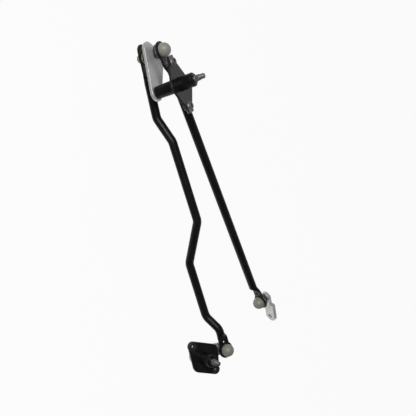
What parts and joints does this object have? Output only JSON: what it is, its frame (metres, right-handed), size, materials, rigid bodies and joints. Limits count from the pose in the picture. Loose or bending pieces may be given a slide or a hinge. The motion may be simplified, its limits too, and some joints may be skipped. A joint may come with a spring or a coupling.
{
  "type": "wiper linkage",
  "caption": "Windscreen wiper linkage: flanged shaft pivots with levers, a straight ball-jointed drive rod to a motor crank and a bent link rod between the levers.",
  "frame": {"origin": "centre of the upper pivot's mounting plate, on its front face and on the upper shaft's axis", "axes": "+Z along the upper wiper shaft towards its threaded tip, +X along the plate's row of ear holes, towards the lower pivot"},
  "size_m": [0.504, 0.2017, 0.1788],
  "materials": {
    "black_coat": "glossy black coating on steel",
    "black_rod": "satin black coating on steel",
    "zinc": "bright zinc plate",
    "shaft_steel": "turned steel, lightly oiled",
    "nylon": "natural nylon, slightly beige",
    "rubber": "black rubber",
    "bronze": "sintered bronze"
  },
  "bodies": {
    "upper_pivot": {"pivot_1_housing": "black_rod", "pivot_1_flange": "black_coat", "pivot_1_bushes": "bronze", "pivot_1_seal": "rubber", "pivot_1_clip_nuts": "shaft_steel"},
    "upper_lever": {"shaft_1": "shaft_steel", "shaft_1_washer": "black_coat", "shaft_1_circlip": "black_coat", "lever_1": "zinc", "double_ball_stud": "shaft_steel"},
    "drive_rod": {"drive_rod": "black_rod", "drive_rod_sockets": "nylon", "drive_rod_seals": "rubber"},
    "crank_ball": {"crank_stud": "shaft_steel"},
    "crank": {"motor_crank": "zinc"},
    "link_rod": {"link_rod": "black_rod", "link_rod_sockets": "nylon", "link_rod_seals": "rubber"},
    "lower_ball": {"lever_2_stud": "shaft_steel"},
    "lower_lever": {"lever_2": "zinc", "shaft_2": "shaft_steel", "shaft_2_washer": "black_coat", "shaft_2_circlip": "black_coat"},
    "lower_pivot": {"pivot_2_housing": "black_rod", "pivot_2_flange": "black_coat", "pivot_2_bushes": "bronze", "pivot_2_seal": "rubber", "pivot_2_grommets": "rubber"}
  },
  "joints": [
    {"name": "upper_shaft_turn", "type": "hinge", "parent": "upper_pivot", "child": "upper_lever", "pos_m": [0, 0, 0], "axis": [0, 0, 1], "range_deg": [-50, 50]},
    {"name": "drive_rod_swing", "type": "hinge", "parent": "upper_lever", "child": "drive_rod", "pos_m": [-0.04891, 0.03299, -0.0234], "axis": [0, 0, 1], "range_deg": [-12, 45]},
    {"name": "crank_ball_tilt", "type": "hinge", "parent": "drive_rod", "child": "crank_ball", "pos_m": [0.3817, 0.10892, -0.07245], "axis": [0.9787, 0.1726, -0.1115], "range_deg": [-8, 8]},
    {"name": "crank_turn", "type": "hinge", "parent": "crank_ball", "child": "crank", "pos_m": [0.3817, 0.10892, -0.07245], "axis": [0.1049, -0.8863, -0.4512], "continuous": true},
    {"name": "link_rod_swing", "type": "hinge", "parent": "upper_lever", "child": "link_rod", "pos_m": [-0.04891, 0.03299, -0.0604], "axis": [0, 0, 1], "range_deg": [-40, 12]},
    {"name": "lower_ball_tilt", "type": "hinge", "parent": "link_rod", "child": "lower_ball", "pos_m": [0.40634, 0.01312, -0.10107], "axis": [0.9951, -0.0434, -0.0889], "range_deg": [-8, 8]},
    {"name": "lower_lever_swing", "type": "hinge", "parent": "lower_ball", "child": "lower_lever", "pos_m": [0.40634, 0.01312, -0.10107], "axis": [0.0607, -0.4414, 0.8952], "range_deg": [-12, 60]},
    {"name": "lower_shaft_turn", "type": "hinge", "parent": "lower_lever", "child": "lower_pivot", "pos_m": [0.38978, -0.02916, -0.117], "axis": [0.0607, -0.4414, 0.8952], "range_deg": [-50, 20]}
  ]
}
